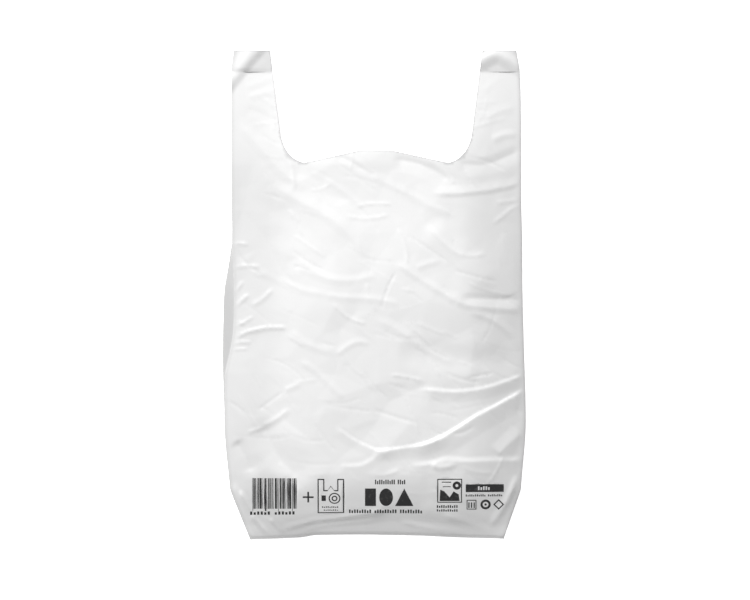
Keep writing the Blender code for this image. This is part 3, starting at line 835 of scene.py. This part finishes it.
def corner_group():
    """The bar with marks in it and below, and a grille, rings and a diamond below them."""
    shapes = [slab(*BAR)] + marks(*BAR_MARKS) + outline_box(*GRILLE, GRILLE_LINE)
    x0, x1, low, high = GRILLE_SLAB
    for i in range(GRILLE_SLABS):
        shapes.append(slab(x0 + GRILLE_PITCH * i, x1 + GRILLE_PITCH * i, low, high))
    shapes += rings(*LOWER_RINGS)
    x, y = DIAMOND
    for size in DIAMOND_SIZES:
        shapes.append(polygon(((x - size, y), (x, y - size), (x + size, y), (x, y + size))))
    return shapes


def print_shapes():
    """Outlines of the print in places of the flat bag. Shapes inside shapes are left white."""
    shapes = stripe_block() + marks(STRIPE_MARKS) + [plus_sign()] + bag_icon()
    shapes += marks(TITLE_MARKS) + bold_group() + marks(FOOT_MARKS) + square_icon()
    return shapes + corner_group()


def line_vertices(net, rows, notch):
    """Vertices along every line of the film: one a row, and one where the notch cuts it."""
    placed = {}
    sections = [lines_at(height) for height in rows]
    for key in sections[0]:
        points = [Vector((s[key][0], h, s[key][1])) for s, h in zip(sections, rows)]
        cut = []
        for a, b in pairwise(points):
            cut.append(a)
            for c, d in pairwise(notch):
                cross = intersect_line_line_2d(a.xy, b.xy, c, d)
                if cross:
                    cut.append(a.lerp(b, (cross.y - a.y) / (b.y - a.y)))
        placed[key] = [net.verts.new(point) for point in cut + points[-1:]]
    return placed


def end_columns(height):
    """Places across a welded or free end that all the layers share."""
    row = section(height)
    left, right = row["front_left"], row["right"]
    if height < MOUTH_HEIGHT:
        count = round(BOTTOM_WIDTH / COLUMN_PITCH)
        return [mix(left, right, i / count) for i in range(1, count)]
    middle = through(DRIFT, MOUTH_HEIGHT)
    reach = notch_half_width(height)
    found = [mix(left, middle - reach, i / STRAP_COLUMNS) for i in range(1, STRAP_COLUMNS)]
    return found + [mix(middle + reach, right, i / STRAP_COLUMNS) for i in range(1, STRAP_COLUMNS)]


def layer_height(layer, across, height):
    """Height above the floor of one layer's outer face."""
    first, second, _ = layer
    if (first, second) == FRONT:
        return front_height(across, height)
    lines = lines_at(height)
    (start, low), (end, high) = lines[first], lines[second]
    return mix(low, high, (across - start) / (end - start))


def on_rows(vert, rows):
    return any(abs(vert.co.y - row) < CDT_NEAR for row in rows)


def build_layer(net, layer, lines, rows, notch):
    """Draws one layer flat between its two lines, cut by the notch, and lifts it to its place.

    The print's outlines are cut into the front panel, and faces inside an odd number of them get
    the ink. Returns the vertices along the layer's first and its last row, from its first line
    on, and all its vertices.
    """
    first, second, up = layer
    left, right = sorted((lines[first], lines[second]), key=lambda line: line[0].co.x)
    ends = []
    for i in (0, -1):
        low, high = left[i].co.x + COLUMN_MARGIN, right[i].co.x - COLUMN_MARGIN
        ends.append([Vector((x, rows[i])) for x in end_columns(rows[i]) if low < x < high])
    is_front = (first, second) == FRONT
    is_panel = is_front or (first, second) == BACK
    free = panel_points(rows, notch, is_front) if is_panel else []
    shapes = print_shapes() if is_front and rows[0] < MOUTH_HEIGHT else []
    border = [v.co.xy for v in left[::-1]] + ends[0] + [v.co.xy for v in right] + ends[1][::-1]
    known = dict(enumerate(left[::-1]))
    known.update(enumerate(right, len(left) + len(ends[0])))
    start = len(border)
    coords = border + notch + free
    loops = [list(range(start)), list(range(start, start + len(notch)))]
    for shape in shapes:
        loops.append(list(range(len(coords), len(coords) + len(shape))))
        coords = coords + shape
    found, _, triangles, sources, _, regions = delaunay_2d_cdt(coords, [], loops, 0, CDT_NEAR, True)
    placed = {}
    for triangle, region in zip(triangles, regions):
        if 0 not in region or 1 in region:
            continue
        for i in triangle:
            if i in placed:
                continue
            fixed = [known[source] for source in sources[i] if source in known]
            if fixed:
                placed[i] = fixed[0]
            else:
                x, y = found[i]
                placed[i] = net.verts.new((x, y, layer_height(layer, x, y)))
        corners = [placed[i] for i in triangle]
        face = net.faces.new(corners if up > 0 else corners[::-1])
        face.material_index = sum(i > 1 for i in region) % 2
    rightward = lines[first][0].co.x < lines[second][0].co.x
    used = sorted(set(placed.values()), key=lambda v: v.co.x, reverse=not rightward)
    ends = [[v for v in used if on_rows(v, [row])] for row in (rows[0], rows[-1])]
    return ends[0], ends[1], used


def film_tube(net, rows, notch, welded):
    """A length of the tube with both its faces, closed along its cut edges.

    welded says for the first and the last row whether a weld follows it. Returns the
    vertices of each layer along those two rows, and the inner vertex under each outer one.
    """
    grey = net.verts.layers.float[SHADE_ATTRIBUTE]
    lines = line_vertices(net, rows, notch)
    welds = [row for row, is_welded in zip((rows[0], rows[-1]), welded) if is_welded]
    before = set(net.faces)
    ends = ({}, {})
    panels = []
    for layer in layers():
        first_row, last_row, panel = build_layer(net, layer, lines, rows, notch)
        ends[0][layer[:2]], ends[1][layer[:2]] = first_row, last_row
        if layer[:2] in (FRONT, BACK):
            panels.append(panel)
    outer = [face for face in net.faces if face not in before]
    crumple(panels[0])
    net.normal_update()
    paint_shade(net, outer, panels, welds)
    inner = {}
    for face in outer:
        for vert in face.verts:
            if vert in inner:
                continue
            inward = -vert.normal
            if on_rows(vert, (rows[0], rows[-1])):
                inward = Vector((inward.x, 0.0, inward.z)).normalized()
            inner[vert] = net.verts.new(vert.co + inward * FILM)
            inner[vert][grey] = vert[grey]
    rims = []
    for face in outer:
        for loop in face.loops:
            a, b = loop.vert, loop.link_loop_next.vert
            at_weld = any(on_rows(a, [row]) and on_rows(b, [row]) for row in welds)
            if len(loop.edge.link_faces) == 1 and not at_weld:
                rims.append((b, a, inner[a], inner[b]))
    for face in outer:
        net.faces.new([inner[vert] for vert in reversed(face.verts)])
    for rim in rims:
        net.faces.new(rim)
    return ends, inner


def paint_shade(net, outer, panels, welds):
    """Sets the painted shade of the film at each vertex: most in the gussets and at cut edges."""
    grey = net.verts.layers.float[SHADE_ATTRIBUTE]
    # Painted shade all over the gusset strips, which lie beside and under the front panel
    for face in outer:
        for vert in face.verts:
            vert[grey] = STRIP_SHADE
    # Painted shade on the panels over the gussets
    for vert in (vert for panel in panels for vert in panel):
        row = section(vert.co.y)
        to_fold = min(vert.co.x - row["front_left"], row["right"] - vert.co.x)
        to_gusset = max(row["crease_left"] - vert.co.x, vert.co.x - row["crease_right"])
        vert[grey] = GUSSET_SHADE * smooth(to_gusset / GUSSET_FADE + 0.5)
        # Painted shade along the side folds
        vert[grey] += FOLD_SHADE * smooth(1 - to_fold / FOLD_FADE)
    # Painted shade along the cut edges, and less of it along the welds
    for face in outer:
        for edge in face.edges:
            if len(edge.link_faces) == 1:
                for vert in edge.verts:
                    vert[grey] = WELD_SHADE if on_rows(vert, welds) else EDGE_SHADE


def side_path(end, side):
    """One side's vertices along an end, from the front fold's tip in and back out."""
    names = LINES[LINES.index("front_tip"):LINES.index("back_tip") + 1]
    path = []
    for first, second in pairwise(names):
        path += end[((side, first), (side, second))]
    return list(dict.fromkeys(path))


def close_bottom(net, end, inner):
    """The weld across the bottom: it closes the cavity and both pockets, and ends the bag."""
    front, back = end[FRONT], end[BACK]
    left, right = (side_path(end, side) for side in ("left", "right"))
    net.faces.new([inner[v] for v in front + right + back[::-1] + left[::-1]])
    net.faces.new(left)
    net.faces.new(right[::-1])
    outline = front + [right[0], right[-1]] + back[::-1] + [left[-1], left[0]]
    squeeze = half_width(0.0) / half_width(WELD_WIDTH)
    shift = through(DRIFT, 0.0) - through(DRIFT, WELD_WIDTH) * squeeze
    foot = [net.verts.new((v.co.x * squeeze + shift, 0.0, v.co.z)) for v in outline]
    bridge(net, foot, outline)
    net.faces.new(foot[::-1])


def strap_rows(end, side):
    """The vertices of one strap's four layers along an end, each from its fold to the cut."""
    sign = -1 if side == "left" else 1
    rows = (end[FRONT], end[((side, "front_foot"), (side, "crease_top"))],
            end[((side, "crease_foot"), (side, "back_top"))], end[BACK])
    return [
        sorted((v for v in row if v.co.x * sign > 0), key=lambda v: -v.co.x * sign)
        for row in rows
    ]


def close_strap(net, end, inner, side, above):
    """Closes the three slots between a strap's layers. Returns the outline for the weld."""
    front, upper, lower, back = strap_rows(end, side)
    front_tip = end[((side, "front_tip"), (side, "front_foot"))][0]
    back_tip = end[((side, "back_tip"), (side, "back_foot"))][0]
    slots = (
        [inner[v] for v in front + upper[::-1] + [front_tip]],
        [front_tip] + upper + lower[::-1] + [back_tip],
        [inner[v] for v in lower + back[::-1] + [back_tip]],
    )
    flip = above != (side == "right")
    for slot in slots:
        net.faces.new(slot[::-1] if flip else slot)
    cut = [inner[front[-1]], inner[upper[-1]], upper[-1], lower[-1], inner[lower[-1]],
           inner[back[-1]]]
    outline = front + cut + back[::-1] + [back_tip, front_tip]
    return outline if side == "left" else outline[::-1]


def bridge(net, first, second):
    for a, b, c, d in zip(first, first[1:] + first[:1], second, second[1:] + second[:1]):
        net.faces.new((a, b, d, c))


def pull_bottom(net):
    """Pulls the bottom weld up between its corners, and the film above it less and less."""
    for vert in net.verts:
        follow = 1 - smooth(vert.co.y / BOTTOM_LINE_REACH)
        vert.co.y += through(BOTTOM_LINE, vert.co.x) * follow


def lift_all(net):
    """Bends all the layers together, at the bottom weld and at the ends of the handles."""
    across = np.array([v.co.x for v in net.verts])
    height = np.array([v.co.y for v in net.verts])
    total = np.zeros(across.shape)
    for rise, above, below, points in metres(LIFTS):
        away, _ = nearest_on(rounded(points), across, height)
        total += rise * smooth_many(1 - np.abs(away) / np.where(away >= 0, above, below))
    for vert, lift in zip(net.verts, total):
        vert.co.z += lift


def film_mesh():
    """The finished film: the tube with its gussets, the notch and the three welds."""
    net = bmesh.new()
    net.verts.layers.float.new(SHADE_ATTRIBUTE)
    notch = notch_outline()
    body_rows = row_heights(WELD_WIDTH, HANDLE_WELD_LOW, ROW_PITCH)
    skirt_rows = row_heights(HANDLE_WELD_TOP, BAG_LENGTH, ROW_PITCH / 2)
    body_ends, body_inner = film_tube(net, body_rows, notch, (True, True))
    skirt_ends, skirt_inner = film_tube(net, skirt_rows, notch, (True, False))
    close_bottom(net, body_ends[0], body_inner)
    for side in ("left", "right"):
        below = close_strap(net, body_ends[1], body_inner, side, above=True)
        above = close_strap(net, skirt_ends[0], skirt_inner, side, above=False)
        bridge(net, below, above)
    loose = [vert for vert in net.verts if not vert.link_faces]
    bmesh.ops.delete(net, geom=loose, context="VERTS")
    bmesh.ops.triangulate(net, faces=net.faces)
    lift_all(net)
    pull_bottom(net)
    bmesh.ops.translate(net, verts=net.verts, vec=(0.0, -BAG_LENGTH / 2, 0.0))
    for face in net.faces:
        face.smooth = True
    for edge in net.edges:
        edge.smooth = edge.calc_face_angle(0.0) < SHARP_ANGLE
    mesh = bpy.data.meshes.new("carrier_bag")
    net.to_mesh(mesh)
    net.free()
    return mesh


def node(tree, kind, **values):
    """Adds a shader node and sets its inputs or its properties by name."""
    made = tree.nodes.new(kind)
    for name, value in values.items():
        socket = name.replace("_", " ")
        if socket in made.inputs:
            made.inputs[socket].default_value = value
        else:
            setattr(made, name, value)
    return made


def link(tree, source, output, target, socket):
    tree.links.new(source.outputs[output], target.inputs[socket])


def tone(level):
    return (level, level, level, 1.0)


def new_material(name):
    """A new material, its node tree and its shader."""
    material = bpy.data.materials.new(name)
    material.use_nodes = True
    return material, material.node_tree, material.node_tree.nodes["Principled BSDF"]


def film_material():
    """White film: cloudy, with painted shade where its attribute says, a soft sheen and fine
    crinkles.
    """
    material, tree, shader = new_material("white_film")
    place = node(tree, "ShaderNodeTexCoord")
    cloud = node(tree, "ShaderNodeTexNoise", **CLOUD)
    dark, light = (tone(level) for level in FILM_WHITE)
    white = node(tree, "ShaderNodeMix", data_type="RGBA", A=dark, B=light)
    # Painted shade: the white is darkened towards a grey tone where the mesh attribute says
    grey = node(tree, "ShaderNodeAttribute", attribute_name=SHADE_ATTRIBUTE)
    shade = node(tree, "ShaderNodeMix", data_type="RGBA", B=tone(PAINTED_SHADE_TONE))
    gloss = node(tree, "ShaderNodeMapRange", To_Min=FILM_GLOSS[0], To_Max=FILM_GLOSS[1])
    link(tree, place, "Object", cloud, "Vector")
    link(tree, cloud, "Fac", white, "Factor")
    link(tree, white, "Result", shade, "A")
    link(tree, grey, "Fac", shade, "Factor")
    link(tree, shade, "Result", shader, "Base Color")
    link(tree, cloud, "Fac", gloss, "Value")
    link(tree, gloss, "Result", shader, "Roughness")
    add_crinkle(tree, place, shader)
    return material


def add_crinkle(tree, place, shader):
    """Fine crinkles in the film, stretched along the bag as blown film is."""
    stretch = node(tree, "ShaderNodeMapping", Scale=CRINKLE_STRETCH)
    fine = node(tree, "ShaderNodeTexNoise", **CRINKLE)
    bump = node(tree, "ShaderNodeBump", **CRINKLE_BUMP)
    link(tree, place, "Object", stretch, "Vector")
    link(tree, stretch, "Vector", fine, "Vector")
    link(tree, fine, "Fac", bump, "Height")
    link(tree, bump, "Normal", shader, "Normal")


def ink_material():
    """Dark grey ink on the film, a little worn."""
    material, tree, shader = new_material("dark_ink")
    shader.inputs["Roughness"].default_value = INK_GLOSS
    place = node(tree, "ShaderNodeTexCoord")
    wear = node(tree, "ShaderNodeTexNoise", **WEAR)
    share = node(tree, "ShaderNodeMapRange", From_Min=WEAR_RANGE[0], From_Max=WEAR_RANGE[1])
    colour = node(tree, "ShaderNodeMix", data_type="RGBA", A=INK_FRESH, B=INK_WORN)
    link(tree, place, "Object", wear, "Vector")
    link(tree, wear, "Fac", share, "Value")
    link(tree, share, "Result", colour, "Factor")
    link(tree, colour, "Result", shader, "Base Color")
    add_crinkle(tree, place, shader)
    return material


def floor_material():
    material, _, shader = new_material("pale_floor")
    shader.inputs["Base Color"].default_value = tone(FLOOR_WHITE)
    shader.inputs["Emission Color"].default_value = tone(1.0)
    shader.inputs["Emission Strength"].default_value = FLOOR_GLOW
    shader.inputs["Roughness"].default_value = FLOOR_GLOSS
    return material


def add_object(name, data):
    made = bpy.data.objects.new(name, data)
    bpy.context.scene.collection.objects.link(made)
    return made


def add_film():
    mesh = film_mesh()
    mesh.materials.append(film_material())
    mesh.materials.append(ink_material())
    film = add_object("bag_film", mesh)
    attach(film, "root")
    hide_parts("carrier_bag")


def add_floor():
    mesh = bpy.data.meshes.new("floor")
    corners = [(x * FLOOR_REACH, y * FLOOR_REACH, -FLOOR_DROP)
               for x, y in ((-1, -1), (1, -1), (1, 1), (-1, 1))]
    mesh.from_pydata(corners, [], [range(4)])
    mesh.materials.append(floor_material())
    add_object("floor", mesh)


def add_lights():
    world = bpy.data.worlds.new("studio")
    world.use_nodes = True
    bpy.context.scene.world = world
    sky = world.node_tree.nodes["Background"]
    sky.inputs["Color"].default_value = tone(1.0)
    sky.inputs["Strength"].default_value = SKY_STRENGTH
    lamp = bpy.data.lights.new("key", "AREA")
    lamp.energy = KEY_POWER
    lamp.size = KEY_SIZE
    key = add_object("key", lamp)
    key.location = KEY_PLACE
    key.rotation_mode = "QUATERNION"
    key.rotation_quaternion = (-key.location).to_track_quat("-Z", "Y")


def add_camera():
    data = bpy.data.cameras.new("camera")
    data.sensor_width = SENSOR_WIDTH
    data.lens = SENSOR_WIDTH * (CAMERA_HEIGHT - VIEW_PLANE) / VIEW_WIDTH
    camera = add_object("camera", data)
    camera.location = (0.0, VIEW_CENTRE, CAMERA_HEIGHT)
    bpy.context.scene.camera = camera


def main():
    bpy.context.scene.view_settings.view_transform = "Standard"
    add_film()
    add_floor()
    add_lights()
    add_camera()


main()
